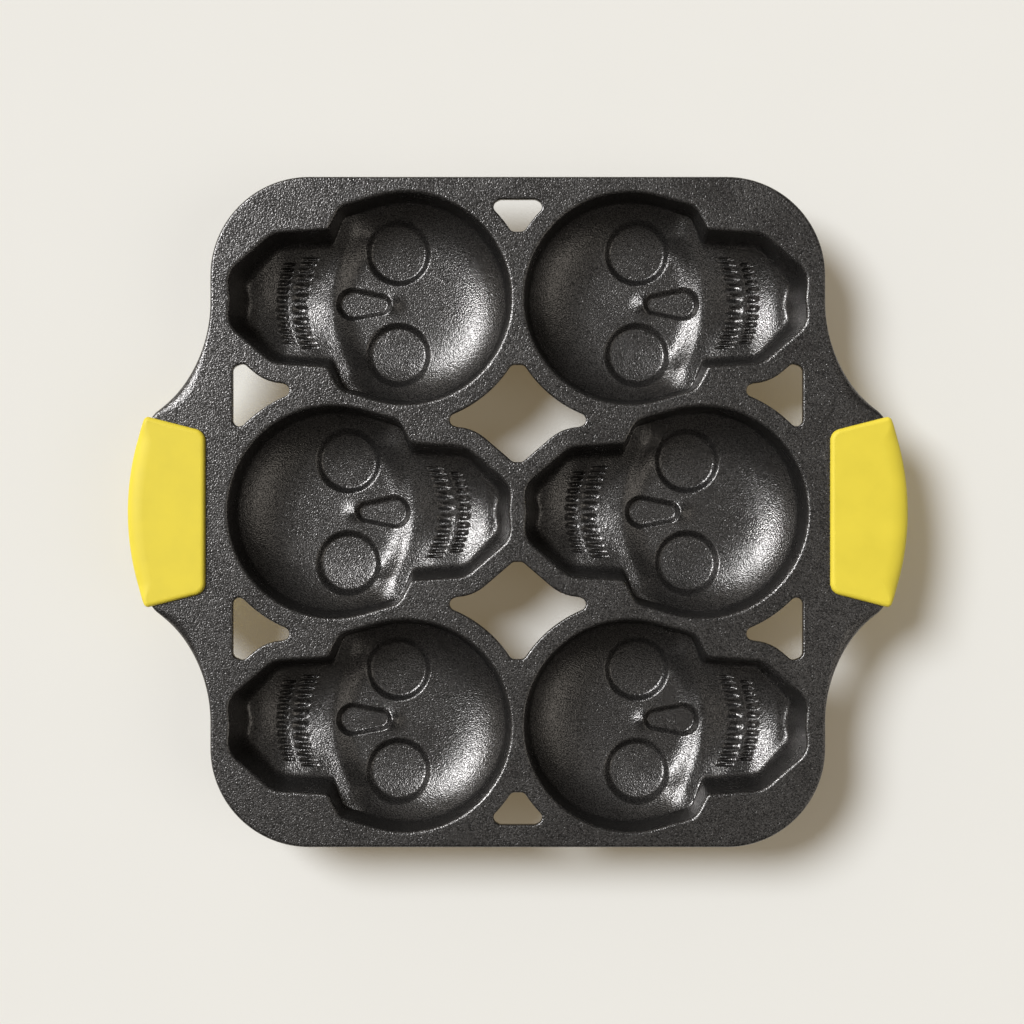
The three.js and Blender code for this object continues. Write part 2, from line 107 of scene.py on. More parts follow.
class SkullSizes(bpy.types.PropertyGroup):
    """One skull cavity: u runs from the middle of the cranium to the chin, v to the side."""

    cranium_radius: length("Cranium radius", "Round part of the outline", 52.8)
    temple_angle: FloatProperty(
        name="Temple angle", description="Middle of the cranium to the temple corner, from u towards v",
        default=math.radians(54.5), subtype="ANGLE"
    )
    temple_flare: length("Temple flare", "Temple corner beyond the cranium's circle", 3.2)
    cheek_run: length("Cheek run", "Temple corner to the cheek's notch, along u", 6)
    cheek_step: length("Cheek step", "Temple corner to the cheek's notch, along v", 11.6)
    jaw_run: length("Jaw run", "Notch to the angle of the jaw, along u", 27.4)
    jaw_step: length("Jaw step", "Notch to the angle of the jaw, along v", 1.7)
    chin_run: length("Chin run", "Angle of the jaw to the chin's corner, along u", 22.6)
    chin_step: length("Chin step", "Angle of the jaw to the chin's corner, along v", 19.4)
    chin_dimple: length("Chin dimple", "How far the chin's middle is drawn in", 1.2)
    temple_round: length("Temple round", "Rounding of the temple corner", 8)
    cheek_round: length("Cheek round", "Rounding of the notch", 3)
    jaw_round: length("Jaw round", "Rounding of the jaw's angle", 13)
    chin_round: length("Chin round", "Rounding of the chin's corner", 11)
    rim_round: length("Rim round", "Rounding of the cavity's rim", 1.6)
    rim_flange: length("Rim flange", "Flat strip round the rim, level with the deck", 0.7)
    cup_wall: length("Cup wall", "Iron round the cavity", 5)
    cup_fillet: length("Cup fillet", "Fillet between the cup and the deck's underside", 1)
    face_depth: length("Face depth", "Depth of the cavity's floor under the face", 33)
    mouth_forward: length("Mouth forward", "The mouth, along u", 52.5)
    mouth_depth: length("Mouth depth", "Depth of the floor at the mouth", 31.8)
    chin_start: length("Chin start", "Start of the floor's rise to the chin, along u", 61)
    chin_end: length("Chin end", "End of that rise, along u", 78)
    chin_depth: length("Chin depth", "Depth of the floor at the chin", 28.2)
    lip_crest: length("Lip crest", "The lip's ridge between face and mouth, along u", 39)
    lip_rise: length("Lip rise", "Height of that ridge above the face, on the middle line", 2.6)
    lip_flat: length("Lip flat", "Middle line to where that ridge begins to run out", 4)
    lip_half: length("Lip half", "Middle line to where that ridge has run out", 28)
    lip_foot: length("Lip foot", "Width of the ridge's slope to the face", 12)
    lip_bow: length("Lip bow", "How much nearer the eyes the ridge is at the jaw's sides", 9)
    lip_fall: length("Lip fall", "Width of the ridge's slope to the mouth", 14)
    bridge_rise: length("Bridge rise", "Height of the mound at the bridge of the nose", 2)
    bridge_width: length("Bridge width", "Half width of that mound", 3.7)
    wall_width: length("Wall width", "Width in plan of the steep wall below the rim", 2.4)
    jaw_wall: length("Jaw wall", "Width in plan of the steep wall along the jaw", 8)
    chin_wall: length("Chin wall", "Width in plan of the steep wall at the chin", 9)
    bowl_rise: length("Bowl rise", "How much the cranium's floor curves up to its wall", 14.8)
    arch_run: length("Arch run", "Width of the change from the cranium's bowl to the mouth's arch", 12.5)
    arch_half: length("Arch half", "Middle line to where the arch levels out", 34)
    arch_radius: length("Arch radius", "Radius of the mouth's floor across", 50)
    eye_forward: length("Eye forward", "Line of the eyes, along u", 5)
    eye_side: length("Eye side", "Middle line to an eye", 26.2)
    eye_sink: length("Eye sink", "How much deeper an eye is than the face round it", 2.8)
    eye_floor_radius: length("Eye floor radius", "Floor of an eye", 13.2)
    eye_top_radius: length("Eye top radius", "Mouth of an eye's pocket", 17.2)
    foot_flange: length("Foot flange", "Iron round an eye's pocket, in the foot under it", 3.4)
    nose_start: length("Nose start", "Start of the nose, along u", 8)
    nose_length: length("Nose length", "Bridge to lip", 29.3)
    nose_narrow: length("Nose narrow", "Half width at the bridge", 6.2)
    nose_wide: length("Nose wide", "Half width at the lip", 9)
    nose_sink: length("Nose sink", "How much deeper the nose is than the face round it", 2.4)
    nose_draft: length("Nose draft", "Narrowing of the nose from its mouth to its floor", 3.2)
    teeth: IntProperty(name="Teeth", description="Teeth on each side of a row", default=6, min=1)
    tooth_depth: length("Tooth depth", "How deep each tooth is pressed", 1.6)
    upper_row: length("Upper row", "Upper teeth, along u", 55.3)
    upper_half: length("Upper half", "Half length of an upper tooth", 5)
    upper_width: length("Upper width", "Width of a middle upper tooth with its gap", 6.8)
    lower_row: length("Lower row", "Lower teeth, along u", 64.8)
    lower_half: length("Lower half", "Half length of a lower tooth", 3.9)
    lower_width: length("Lower width", "Width of a middle lower tooth with its gap", 5)
    row_radius: length("Row radius", "Radius of the curve that the teeth stand on", 48)
    carving_margin: length("Carving margin", "Finer faces reach this far past the carving", 1)
    spacing: length("Spacing", "Distance between points along the rim", 2.4)


class GripSizes(bpy.types.PropertyGroup):
    """A silicone grip that slips over a handle."""

    wall: length("Wall", "Silicone above, below and outside the handle", 2.5)
    clearance: length("Clearance", "Handle to the grip's pocket", 0.3)
    half_length: length("Half length", "Middle line to the grip's outer end", 48)
    mouth_half: length("Mouth half", "Half length along the mouth, where the ends would meet it", 40.3)
    mouth_gap: length("Mouth gap", "Body side to the grip's mouth", 2.2)
    mouth_round: length("Mouth round", "Rounding of the mouth's corners in plan", 6)
    end_round: length("End round", "Rounding of the outer corners in plan", 2.5)
    edge_round: length("Edge round", "Rounding of the edges at the mouth and the ends", 2.2)
    bow_round: length("Bow round", "Width in plan of the softer rounding along the bowed edge", 8)
    bow_drop: length("Bow drop", "Height of that rounding", 3.8)
    bow_ends: length("Bow ends", "End of the grip to where that rounding is whole", 12)
    spacing: length("Spacing", "Distance between points along the outline", 1.5)


class Finishes(bpy.types.PropertyGroup):
    """Colours of the pan's materials and of the table."""

    iron: colour("Iron", "Seasoned iron of the casting", "#605d5a")
    silicone: colour("Silicone", "Grips", "#e9d13e")
    floor: colour("Floor", "Table top", "#eeede8")
    shadow: colour("Shadow", "Tint of the table's shadows", "#e6ca98")


class SkullPan(bpy.types.PropertyGroup):
    """Everything that shapes and colours the pan."""

    deck: PointerProperty(type=DeckSizes)
    skull: PointerProperty(type=SkullSizes)
    grip: PointerProperty(type=GripSizes)
    finish: PointerProperty(type=Finishes)


# Outlines: lists of stations, each a point in plan and the direction outward there

ARC_TURN = math.radians(8)  # most that an arc turns from one station to the next


def unit(turn):
    """The unit vector at an angle."""
    return Vector((math.cos(turn), math.sin(turn)))


def arc(centre, radius, start, end, spacing, side=1):
    """Stations along an arc, whose outside is away from its centre, or towards it where side is -1."""
    steps = math.ceil(max(abs(end - start) * radius / spacing, abs(end - start) / ARC_TURN, 1))
    turns = [start + (end - start) * step / steps for step in range(steps + 1)]
    return [(centre + unit(turn) * radius, unit(turn) * side) for turn in turns]


def straight(start, end, spacing):
    """Stations along a straight run with the outside on its left."""
    along = end - start
    outward = Vector((-along.y, along.x)).normalized()
    steps = max(1, round(along.length / spacing))
    return [(start + along * step / steps, outward) for step in range(steps + 1)]


def rounded_runs(corners, radii, spacing):
    """Stations along straight runs with the outside on the left, and each inner corner rounded."""
    stations = []
    start = corners[0]
    for before, corner, after, radius in zip(corners, corners[1:], corners[2:], radii):
        into = (corner - before).normalized()
        turn = math.atan2(into.cross(after - corner), into.dot(after - corner))
        side = math.copysign(1, turn)
        begin = corner - into * radius * math.tan(abs(turn) / 2)
        centre = begin + Vector((-into.y, into.x)) * side * radius
        bearing = math.atan2(begin.y - centre.y, begin.x - centre.x)
        stations += straight(start, begin, spacing)
        stations += arc(centre, radius, bearing, bearing + turn, spacing, -side)
        start = stations[-1][0]
    return stations + straight(start, corners[-1], spacing)


def thinned(stations):
    """The stations without those that stand on the one before."""
    kept = stations[:1]
    for station in stations[1:]:
        if (station[0] - kept[-1][0]).length > WELD:
            kept.append(station)
    return kept


def flipped(stations, flip):
    """The stations mirrored by a pair of signs, in the opposite order."""
    signs = Vector(flip)
    return [(point * signs, outward * signs) for point, outward in reversed(stations)]


def closed(half, flip):
    """The closed outline whose first half runs from the mirror line back to it."""
    half = thinned(half)
    return half + flipped(half, flip)[1:-1]


def closed_quarter(quarter):
    """The closed outline whose first quarter runs from one mirror line to the other."""
    quarter = thinned(quarter)
    return closed(quarter + flipped(quarter, (1, -1))[1:], (-1, 1))


def smoothstep(value, start, end):
    """0 before the start, 1 after the end, and an even S between."""
    share = min(max((value - start) / (end - start), 0), 1)
    return share * share * (3 - 2 * share)


def mix(low, high, share):
    """The value a share of the way from low to high."""
    return low + (high - low) * share


# Plan of the skulls and of the casting

NOTCH_LEAST = 1 * MM  # radius that a notch keeps once it is moved out


def skull_corners(skull):
    """Temple, notch under the cheekbone, angle of the jaw, corner of the chin and middle of the chin."""
    temple = unit(skull.temple_angle) * (skull.cranium_radius + skull.temple_flare)
    cheek = temple + Vector((skull.cheek_run, -skull.cheek_step))
    jaw = cheek + Vector((skull.jaw_run, -skull.jaw_step))
    chin_corner = jaw + Vector((skull.chin_run, -skull.chin_step))
    return temple, cheek, jaw, chin_corner, Vector((chin_corner.x - skull.chin_dimple, 0))


def skull_outline(skull, outset=0):
    """The cavity's rim, with its notch rounded enough to be moved out by the outset."""
    corners = skull_corners(skull)
    radius = skull.cranium_radius
    leave = skull.temple_angle + math.acos(radius / corners[0].length)
    notch = max(skull.cheek_round, outset + NOTCH_LEAST)
    radii = [skull.temple_round, notch, skull.jaw_round, skull.chin_round]
    half = arc(Vector((0, 0)), radius, math.pi, leave, skull.spacing)
    half += rounded_runs([unit(leave) * radius, *corners], radii, skull.spacing)
    half[-1] = (half[-1][0], Vector((1, 0)))
    return closed(half, (1, -1))


def layout(pan):
    """Half width and half depth of the body, and each skull's place by name."""
    deck, skull = pan.deck, pan.skull
    reach = skull_corners(skull)[3].x
    outer = deck.cavity_web / 2 + skull.cranium_radius
    middle = deck.cavity_web / 2 + reach
    touching = 2 * skull.cranium_radius + deck.cavity_web
    pitch = math.sqrt(touching ** 2 - (middle - outer) ** 2)
    half_turn = Matrix.Rotation(math.pi, 4, "Z")
    places = {}
    for row, across, along in (("top", outer, pitch), ("middle", middle, 0), ("bottom", outer, -pitch)):
        for side, sign in (("left", -1), ("right", 1)):
            place = Matrix.Translation((sign * across, along, 0))
            chin_right = (side == "right") == (row != "middle")
            places[f"{row}_{side}"] = place if chin_right else place @ half_turn
    half_width = outer + reach + deck.side_border
    half_depth = pitch + skull.cranium_radius + deck.end_border
    return half_width, half_depth, places


def bow(deck):
    """Radius of a handle's outer edge, which is bowed through its two corners."""
    drop = deck.handle_reach - deck.handle_shoulder
    return (drop ** 2 + deck.handle_half_width ** 2) / (2 * drop)


def casting_outline(pan):
    """The casting's edge: body corners, flared necks and bowed handles, clockwise from the far side."""
    deck = pan.deck
    half_width, half_depth, _ = layout(pan)
    corner = Vector((half_width, half_depth)) - Vector((1, 1)) * deck.corner_radius
    flare_start = Vector((half_width, corner.y - deck.side_straight))
    shoulder = Vector((half_width + deck.handle_shoulder, deck.handle_half_width))
    to_shoulder = shoulder - flare_start
    flare = to_shoulder.length_squared / (2 * to_shoulder.x)
    flare_turn = math.asin(-to_shoulder.y / flare) - deck.handle_corner / flare
    bow_radius = bow(deck)
    bow_turn = math.asin(shoulder.y / bow_radius) - deck.handle_corner / bow_radius
    bow_centre = Vector((half_width + deck.handle_reach - bow_radius, 0))
    spacing = deck.spacing
    quarter = straight(Vector((0, half_depth)), Vector((corner.x, half_depth)), spacing)
    quarter += arc(corner, deck.corner_radius, math.pi / 2, 0, spacing)
    quarter += straight(Vector((half_width, corner.y)), flare_start, spacing)
    flare_centre = flare_start + Vector((flare, 0))
    quarter += arc(flare_centre, flare, math.pi, math.pi + flare_turn, spacing, -1)
    quarter += curved_corner(quarter[-1][0], shoulder, bow_centre + unit(bow_turn) * bow_radius, spacing)
    quarter += arc(bow_centre, bow_radius, bow_turn, 0, spacing)
    return closed_quarter(quarter)


def curved_corner(start, corner, end, spacing):
    """Stations along a curve that leaves for a corner and bends to its end, the outside on its left."""
    steps = math.ceil(2 * (end - start).length / spacing)
    stations = []
    for step in range(steps + 1):
        share = step / steps
        near = start.lerp(corner, share)
        far = corner.lerp(end, share)
        along = far - near
        stations.append((near.lerp(far, share), Vector((-along.y, along.x)).normalized()))
    return stations


def inside(point, loop):
    """Whether a point is inside a closed loop."""
    within = False
    for start, end in zip(loop, loop[1:] + loop[:1]):
        if (start.y > point.y) != (end.y > point.y):
            crossing = start.x + (end.x - start.x) * (point.y - start.y) / (end.y - start.y)
            within ^= point.x < crossing
    return within


def free_runs(loop, free):
    """The stretches of a closed loop whose points are free."""
    start = free.index(False)
    runs = [[]]
    for index in range(start, start + len(loop)):
        if free[index % len(loop)]:
            runs[-1].append(loop[index % len(loop)])
        elif runs[-1]:
            runs.append([])
    return [run for run in runs if run]


def window_outlines(pan):
    """The windows: what the deck has left between the flanges round the cavities and its border."""
    deck = pan.deck
    half_width, half_depth, places = layout(pan)
    keep_off = deck.window_flange + deck.window_round
    flange = [point + outward * keep_off for point, outward in skull_outline(pan.skull, keep_off)]
    flanges = [[(place @ point.to_3d()).xy for point in reversed(flange)] for place in places.values()]
    inset = deck.window_border + deck.window_round
    corner = Vector((half_width, half_depth)) - Vector((1, 1)) * deck.corner_radius
    side, end = half_width - inset, half_depth - inset
    quarter = straight(Vector((0, end)), Vector((corner.x, end)), deck.spacing)
    quarter += arc(corner, deck.corner_radius - inset, math.pi / 2, 0, deck.spacing)
    quarter += straight(Vector((side, corner.y)), Vector((side, 0)), deck.spacing)
    border = [point for point, _ in closed_quarter(quarter)]
    runs = free_runs(border, [not any(inside(point, loop) for loop in flanges) for point in border])
    for loop in flanges:
        others = [other for other in flanges if other is not loop]
        free = [
            inside(point, border) and not any(inside(point, other) for other in others) for point in loop
        ]
        runs += free_runs(loop, free)
    cores = [core for core in chained(runs) if core_width(core) > deck.window_least]
    return [rounded_outset(core, deck.window_round) for core in cores]


def chained(runs):
    """Closed loops made by joining each run's end to the nearest start of a run."""
    loops = []
    while runs:
        loop = runs.pop()
        first = loop[0]
        while True:
            nearest = min(runs, key=lambda run: (run[0] - loop[-1]).length, default=[first])
            if (first - loop[-1]).length <= (nearest[0] - loop[-1]).length:
                break
            runs.remove(nearest)
            loop = loop + nearest
        loops.append(loop)
    return loops


def core_width(loop):
    """Side of the square with a loop's area."""
    return math.sqrt(abs(sum(a.cross(b) for a, b in zip(loop, loop[1:] + loop[:1]))) / 2)


def rounded_outset(loop, distance):
    """The outline of a clockwise loop moved out by a distance, with an arc round each outer corner."""
    stations = []
    for before, point, after in zip(loop[-1:] + loop[:-1], loop, loop[1:] + loop[:1]):
        into, out = point - before, after - point
        turn = math.atan2(into.cross(out), into.dot(out))
        bearing = math.atan2(into.x, -into.y)
        if turn < -ARC_TURN:
            stations += arc(point, distance, bearing, bearing + turn, distance)
        else:
            outward = unit(bearing + turn / 2)
            stations.append((point + outward * distance, outward))
    return stations


# Mesh helpers

ROUND_STEPS = 6  # faces over a rounded edge
SHARP_ANGLE = math.radians(40)  # faces that meet at more than this keep a crisp edge


def new_bmesh():
    """A bmesh whose vertices keep an outward direction, an edge's softness and their place in a wall."""
    mesh = bmesh.new()
    mesh.verts.layers.float_vector.new("outward")
    for name in ("soft", "inset", "wall", "fillet"):
        mesh.verts.layers.float.new(name)
    return mesh


def draw_loop(mesh, stations, outset, height, soft_at=lambda point: 0):
    """Edges of a closed loop whose vertices keep their outward direction and how soft their edge is."""
    outward = mesh.verts.layers.float_vector["outward"]
    soft = mesh.verts.layers.float["soft"]
    verts = []
    for point, direction in stations:
        vert = mesh.verts.new((point + direction * outset).to_3d() + Vector((0, 0, height)))
        vert[outward] = direction.to_3d()
        vert[soft] = soft_at(point)
        verts.append(vert)
    return [mesh.edges.new(pair) for pair in zip(verts, verts[1:] + verts[:1])]


def extruded(mesh, edges):
    """The vertices and the edges that extruding a loop adds for its next loop, still in place."""
    grown = bmesh.ops.extrude_edge_only(mesh, edges=edges)["geom"]
    kinds = bmesh.types.BMVert, bmesh.types.BMEdge
    return [[part for part in grown if isinstance(part, kind)] for kind in kinds]


def sweep(mesh, edges, moves, soft_moves=None):
    """Extrudes a loop by each move in turn, a distance outward and a distance up, and gives the last loop.

    A vertex takes as much of the soft moves as its edge is soft.
    """
    outward = mesh.verts.layers.float_vector["outward"]
    soft = mesh.verts.layers.float["soft"]
    for (out, up), (soft_out, soft_up) in zip(moves, soft_moves or moves):
        verts, edges = extruded(mesh, edges)
        for vert in verts:
            vert.co += vert[outward] * mix(out, soft_out, vert[soft])
            vert.co.z += mix(up, soft_up, vert[soft])
    return edges


def quarter_round(across, drop):
    """Moves down over a rounded edge, from flat to upright."""
    turns = [math.pi / 2 * step / ROUND_STEPS for step in range(ROUND_STEPS + 1)]
    return [
        (across * (math.sin(b) - math.sin(a)), drop * (math.cos(b) - math.cos(a)))
        for a, b in zip(turns, turns[1:])
    ]


def edge_moves(rise, across, drop, lip):
    """Moves that climb a plate's side by a rise, the last of it over a rounded edge to a flat lip."""
    over = [(lip, 0)] + quarter_round(across, drop)
    return [(0, rise - drop)] + [(-out, -up) for out, up in reversed(over)]


def downward(moves):
    """The same moves upside down."""
    return [(out, -up) for out, up in moves]


def inward(moves):
    """The same moves towards the inside."""
    return [(-out, up) for out, up in moves]


def capped(mesh, *caps):
    """The bmesh with each set of loops filled by flat faces, and all faces turned outward."""
    for edges in caps:
        bmesh.ops.triangle_fill(mesh, use_beauty=True, edges=edges)
    bmesh.ops.recalc_face_normals(mesh, faces=mesh.faces)
    return mesh


def mesh_data(name, mesh):
    """The mesh data of a bmesh, which is freed."""
    data = bpy.data.meshes.new(name)
    mesh.to_mesh(data)
    mesh.free()
    return data


def linked(name, data):
    """An object of some data, added to the scene."""
    added = bpy.data.objects.new(name, data)
    bpy.context.collection.objects.link(added)
    return added


def finish_piece(mesh, name, material, body, nodes):
    """Adds a bmesh as a piece, shaded smooth with crisp corners, riding on its body."""
    data = mesh_data(name, mesh)
    data.shade_smooth()
    data.set_sharp_from_angle(angle=SHARP_ANGLE)
    data.materials.append(material)
    piece = linked(name, data)
    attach(piece, body)
    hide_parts(*nodes)


# Materials

NOISE_RANGE = {"From Min": 0.3, "From Max": 0.7}  # holds most of a noise texture's values
SHADOW_LIFT = 0.165  # share of the shadows' tint in what is seen of the table


def set_inputs(tree, node, inputs):
    """Gives each input of a node a value, or a link from another node's output."""
    for name, value in inputs.items():
        if isinstance(value, bpy.types.NodeSocket):
            tree.links.new(value, node.inputs[name])
        else:
            node.inputs[name].default_value = value


def add_node(tree, kind, output, inputs=None, **settings):
    """Adds a shader node and gives one of its outputs."""
    node = tree.nodes.new("ShaderNode" + kind)
    for name, value in settings.items():
        setattr(node, name, value)
    set_inputs(tree, node, inputs or {})
    return node.outputs[output]


def new_material(name):
    """A material, its node tree and its surface shader."""
    material = bpy.data.materials.new(name)
    material.use_nodes = True
    return material, material.node_tree, material.node_tree.nodes["Principled BSDF"]


def grained(name, tint, grain, mottle):
    """A material with a fine grain in relief and a broad mottling, and its surface shader.

    The grain paints shade into its pits and highlight onto its tops: its tone is darker where its relief is
    low and lighter where it is high. The mottling varies the tone at random, and varies the roughness. Each
    gives its noise as a size and a detail, and tone and roughness as ranges.
    """
    material, tree, shader = new_material(name)
    place = add_node(tree, "TexCoord", "Object")
    fine, broad = [
        add_node(tree, "TexNoise", "Fac", {"Vector": place, "Scale": 1 / size, "Detail": detail})
        for size, detail in (grain["noise"], mottle["noise"])
    ]
    varied = (fine, grain["tone"]), (broad, mottle["tone"]), (broad, mottle["roughness"])
    # the first of these is the grain's tone: painted shade in its pits and painted highlight on its tops
    relief_shade, tone, gloss = [
        add_node(
            tree, "MapRange", "Result", {"Value": noise, **NOISE_RANGE, "To Min": low, "To Max": high}
        )
        for noise, (low, high) in varied
    ]
    value = add_node(tree, "Math", "Value", {0: relief_shade, 1: tone}, operation="MULTIPLY")
    mottled = add_node(tree, "HueSaturation", "Color", {"Color": (*tint, 1), "Value": value})
    height = {"Height": fine, "Strength": grain["strength"], "Distance": grain["height"]}
    bump = add_node(tree, "Bump", "Normal", height)
    set_inputs(tree, shader, {"Base Color": mottled, "Roughness": gloss, "Normal": bump})
    return material, shader


def seasoned_cast_iron(pan):
    """Sand-cast iron under baked-on seasoning.

    The sand leaves a fine pebbled grain, whose tops sparkle where they face the light. Its pits are painted
    darker and its tops lighter, as painted shade and painted highlight. The film of baked oil makes the
    whole dark and half glossy.
    """
    # grain tone: painted shade in the pits and painted highlight on the tops, from the same noise as the
    # relief
    grain = {"noise": (0.65 * MM, 0.5), "tone": (0.42, 1.58), "height": 0.21 * MM, "strength": 1.0}
    mottle = {"noise": (24 * MM, 3), "tone": (0.92, 1.08), "roughness": (0.26, 0.31)}
    material, shader = grained("seasoned_cast_iron", pan.finish.iron, grain, mottle)
    shader.inputs["Metallic"].default_value = 0.9
    return material


def moulded_silicone(pan):
    """Silicone rubber from a polished mould: a matte colour, a soft sheen and faint smudges.

    Its skin shows only in relief, and leaves the tone as it is.
    """
    skin = {"noise": (0.5 * MM, 2), "tone": (1, 1), "height": 0.05 * MM, "strength": 0.2}
    smudges = {"noise": (14 * MM, 3), "tone": (0.97, 1.03), "roughness": (0.5, 0.6)}
    material, shader = grained("moulded_silicone", pan.finish.silicone, skin, smudges)
    shader.inputs["IOR"].default_value = 1.41
    return material


def painted_table(pan):
    """Matte paint on a board: a pale face with the faintest unevenness, whose shadows stay pale."""
    material, tree, shader = new_material("painted_table")
    finish = pan.finish
    cloud_size, darkest_tone = 60 * MM, 0.985
    place = add_node(tree, "TexCoord", "Object")
    cloud = add_node(tree, "TexNoise", "Fac", {"Vector": place, "Scale": 1 / cloud_size})
    tone = add_node(tree, "MapRange", "Result", {"Value": cloud, "To Min": darkest_tone})
    tinted = add_node(tree, "HueSaturation", "Color", {"Color": (*finish.floor, 1), "Value": tone})
    set_inputs(tree, shader, {"Base Color": tinted, "Roughness": 0.9})
    seen = add_node(tree, "LightPath", "Is Camera Ray")
    for name in ("Is Glossy Ray", "Is Transmission Ray"):
        ray = add_node(tree, "LightPath", name)
        seen = add_node(tree, "Math", "Value", {0: seen, 1: ray}, operation="MAXIMUM")
    lift = add_node(tree, "Math", "Value", {0: seen, 1: SHADOW_LIFT}, operation="MULTIPLY")
    glow = add_node(tree, "Emission", "Emission", {"Color": (*finish.shadow, 1)})
    lifted = add_node(tree, "MixShader", "Shader", {0: lift, 1: shader.outputs["BSDF"], 2: glow})
    set_inputs(tree, tree.nodes["Material Output"], {"Surface": lifted})
    return material


# Skull cups

INNER_RINGS, OUTER_RINGS = 44, 20  # of faces, from a cup's rim to its middle line, inside and outside
RING_POWER = 1.5  # draws the rings together at the rim, where the wall is steep
WALL_FILLET, JAW_FILLET, CHIN_FILLET = 1.7, 4.2, 3  # 1 meets the floor in a crease, more in a wider curve
BOWL_POWER = 4.6  # 2 curves the cranium's floor evenly, more keeps its middle flatter
TOOTH_POWER = 3  # 2 makes a tooth's outline an ellipse, more makes it squarer
TOOTH_FLOOR = 0.15  # share of a tooth that is its flat floor
TOOTH_FILL = 0.88  # share of a row that is teeth, not gaps
UPPER_FADE, LOWER_FADE = 5, 8  # teeth after which one is about a third as wide as in the middle


def wall_shape(skull, point):
    """Width in plan of the steep wall below a point of the rim, and its fillet."""
    temple, cheek, jaw, chin_corner, _ = skull_corners(skull)
    by_jaw = smoothstep(point.x, temple.x, cheek.x)
    by_chin = smoothstep(point.x, jaw.x, chin_corner.x)
    width = mix(mix(skull.wall_width, skull.jaw_wall, by_jaw), skull.chin_wall, by_chin)
    fillet = mix(mix(WALL_FILLET, JAW_FILLET, by_jaw), CHIN_FILLET, by_chin)
    return width, fillet


def plain_floor(skull, u):
    """Depth of the floor along the middle line, without its relief: face, mouth and chin."""
    face = mix(skull.face_depth, skull.mouth_depth, smoothstep(u, skull.lip_crest, skull.mouth_forward))
    return mix(face, skull.chin_depth, smoothstep(u, skull.chin_start, skull.chin_end))


def crest_at(skull, v):
    """How far forward the lip's ridge is, at a distance from the middle line."""
    cheek = skull_corners(skull)[1]
    return skull.lip_crest - skull.lip_bow * min(abs(v) / cheek.y, 1) ** 2


def floor_rise(skull, u, v, inset):
    """How much the floor curves up to the wall: a bowl in the cranium, an arch across the mouth."""
    cranium = skull.bowl_rise * (1 - inset) ** BOWL_POWER
    mouth = v ** 2 / (2 * skull.arch_radius) / math.hypot(1, (v / skull.arch_half) ** 2)
    crest = crest_at(skull, v)
    return mix(cranium, mouth, smoothstep(u, crest - skull.arch_run, crest))


def floor_relief(skull, u, v):
    """Height of the lip's ridge and of the mound at the bridge."""
    crest = crest_at(skull, v)
    climbed = min(max((u - crest) / skull.lip_foot + 1, 0), 1) ** 2
    fallen = smoothstep(u, crest, crest + skull.lip_fall)
    rise = skull.lip_rise * (1 - smoothstep(abs(v), skull.lip_flat, skull.lip_half))
    ridge = rise * climbed * (2 - climbed) * (1 - fallen)
    bridge = skull.bridge_rise * math.exp(-((u - skull.nose_start) ** 2 + v ** 2) / skull.bridge_width ** 2)
    return ridge + bridge


def eye_reach(skull, u, v):
    """Distance from the middle of the nearer eye."""
    return math.hypot(u - skull.eye_forward, abs(v) - skull.eye_side)


def nose_reach(skull, u, v):
    """Distance outside the edge of the nose, which is a pear, narrow at the bridge."""
    bridge = skull.nose_start + skull.nose_narrow
    lip = skull.nose_start + skull.nose_length - skull.nose_wide
    share = min(max((u - bridge) / (lip - bridge), 0), 1)
    return math.hypot(u - mix(bridge, lip, share), v) - mix(skull.nose_narrow, skull.nose_wide, share)


def tooth_share(skull, u, v, row, half, width, fade):
    """How far a point is pressed into a tooth: teeth narrow away from the middle line, in a bowed row."""
    left = 1 - abs(v) / (width * fade)
    if left <= 0:
        return 0
    number_out = -fade * math.log(left)
    if number_out >= skull.teeth:
        return 0
    across = (2 * (number_out % 1) - 1) / TOOTH_FILL
    along = (u - row + v ** 2 / (2 * skull.row_radius)) / half
    reach = (abs(across) ** TOOTH_POWER + abs(along) ** TOOTH_POWER) ** (1 / TOOTH_POWER)
    return 1 - smoothstep(reach, TOOTH_FLOOR, 1)


def cavity_depth(skull, u, v, inset, wall):
    """Depth of the cavity at a point where the wall has reached a share of the floor's depth."""
    eye = 1 - smoothstep(eye_reach(skull, u, v), skull.eye_floor_radius, skull.eye_top_radius)
    nose = 1 - smoothstep(nose_reach(skull, u, v), -skull.nose_draft, 0)
    relief = floor_relief(skull, u, v) * (1 - nose)
    depth = mix(skull.rim_round, plain_floor(skull, u) - floor_rise(skull, u, v, inset) - relief, wall)
    upper = tooth_share(skull, u, v, skull.upper_row, skull.upper_half, skull.upper_width, UPPER_FADE)
    lower = tooth_share(skull, u, v, skull.lower_row, skull.lower_half, skull.lower_width, LOWER_FADE)
    return depth + skull.eye_sink * eye + skull.nose_sink * nose + skull.tooth_depth * max(upper, lower)


def cup_depth(pan, u, v, inset, wall):
    """Depth of the cup's outside at a point, with a flat foot under each eye."""
    skull, deck = pan.skull, pan.deck
    floor = plain_floor(skull, u) - floor_rise(skull, u, v, inset) + skull.cup_wall
    shell = mix(deck.thickness + skull.cup_fillet, floor, wall)
    reach = eye_reach(skull, u, v) - skull.foot_flange
    foot = 1 - smoothstep(reach, skull.eye_floor_radius, skull.eye_top_radius)
    return mix(shell, deck.pan_height, foot)


